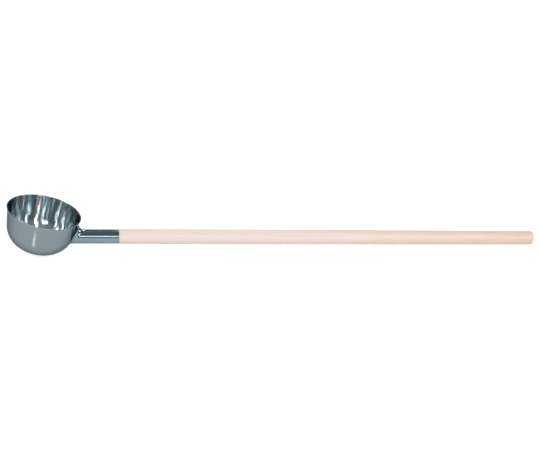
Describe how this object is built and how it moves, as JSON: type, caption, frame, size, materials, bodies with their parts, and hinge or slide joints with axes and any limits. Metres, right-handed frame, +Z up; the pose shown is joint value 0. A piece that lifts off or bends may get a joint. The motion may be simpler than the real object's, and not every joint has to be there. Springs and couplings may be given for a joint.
{
  "type": "water dipper",
  "caption": "Long-handled dipper: deep round-bottomed polished steel bowl, short steel socket welded to its side, and a straight pale wooden pole.",
  "frame": {"origin": "on the table, under the middle of the whole dipper as it lies at rest", "axes": "+Z up; +X from the bowl towards the far end of the pole; the XZ plane is the dipper's plane of symmetry"},
  "size_m": [1.066, 0.15, 0.107],
  "materials": {
    "bowl_steel": "polished to a mirror inside, finely polished outside",
    "socket_steel": "polished",
    "pole_wood": "sanded smooth, unvarnished pale softwood with fine straight grain",
    "screw_steel": "satin"
  },
  "bodies": {
    "root": {"bowl": "bowl_steel", "socket": "socket_steel", "socket_weld": "socket_steel", "handle": "pole_wood", "retaining_screw": "screw_steel"}
  },
  "joints": []
}
